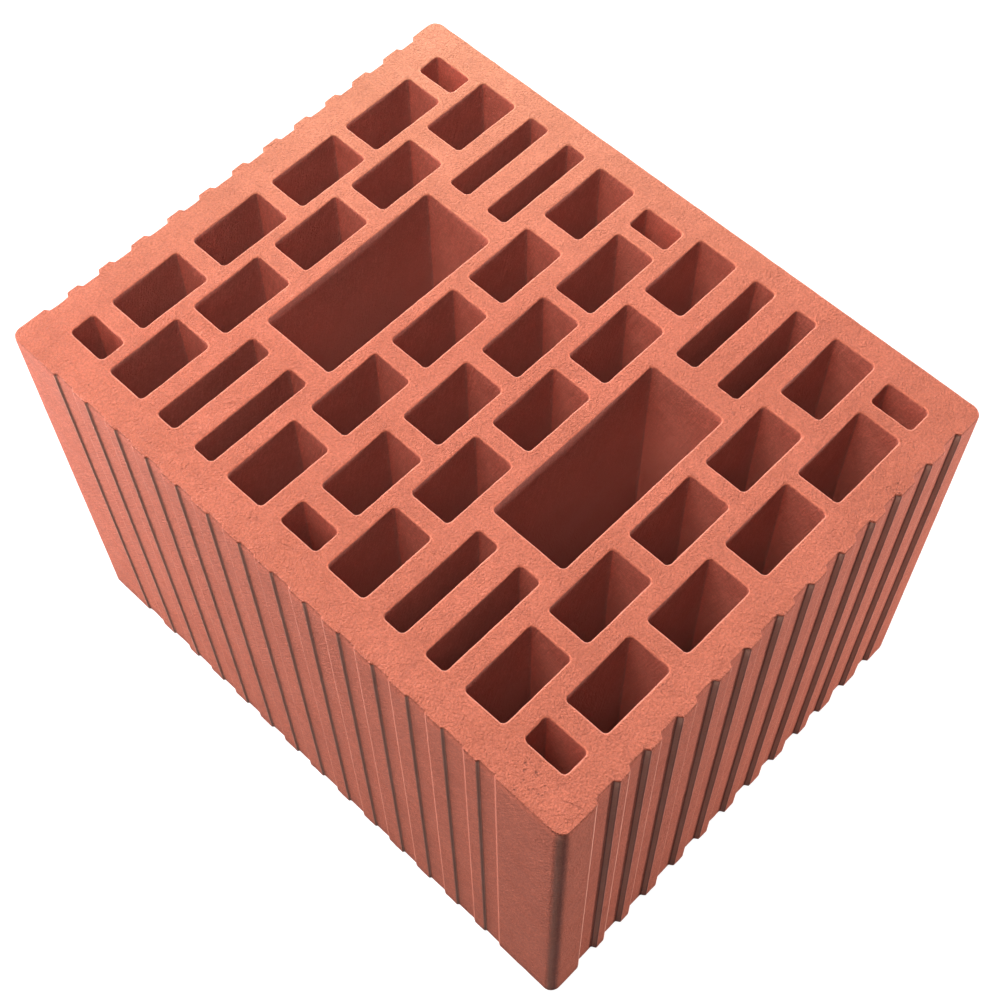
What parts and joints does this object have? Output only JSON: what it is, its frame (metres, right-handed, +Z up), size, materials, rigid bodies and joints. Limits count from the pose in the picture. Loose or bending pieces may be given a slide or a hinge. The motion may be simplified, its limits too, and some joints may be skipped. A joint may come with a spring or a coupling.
{
  "type": "hollow clay brick",
  "caption": "Hollow fired-clay brick with upright rectangular holes in staggered rows, grip holes, slots and grooved faces.",
  "frame": {"origin": "middle of the bottom cut face, on the floor that the brick stands on", "axes": "+Z up along the holes, +X along the length towards the right end, -Y towards the grooved front"},
  "size_m": [0.3, 0.2378, 0.206],
  "materials": {
    "fired_clay": "matte"
  },
  "bodies": {
    "root": {"clay_brick": "fired_clay"}
  },
  "joints": []
}
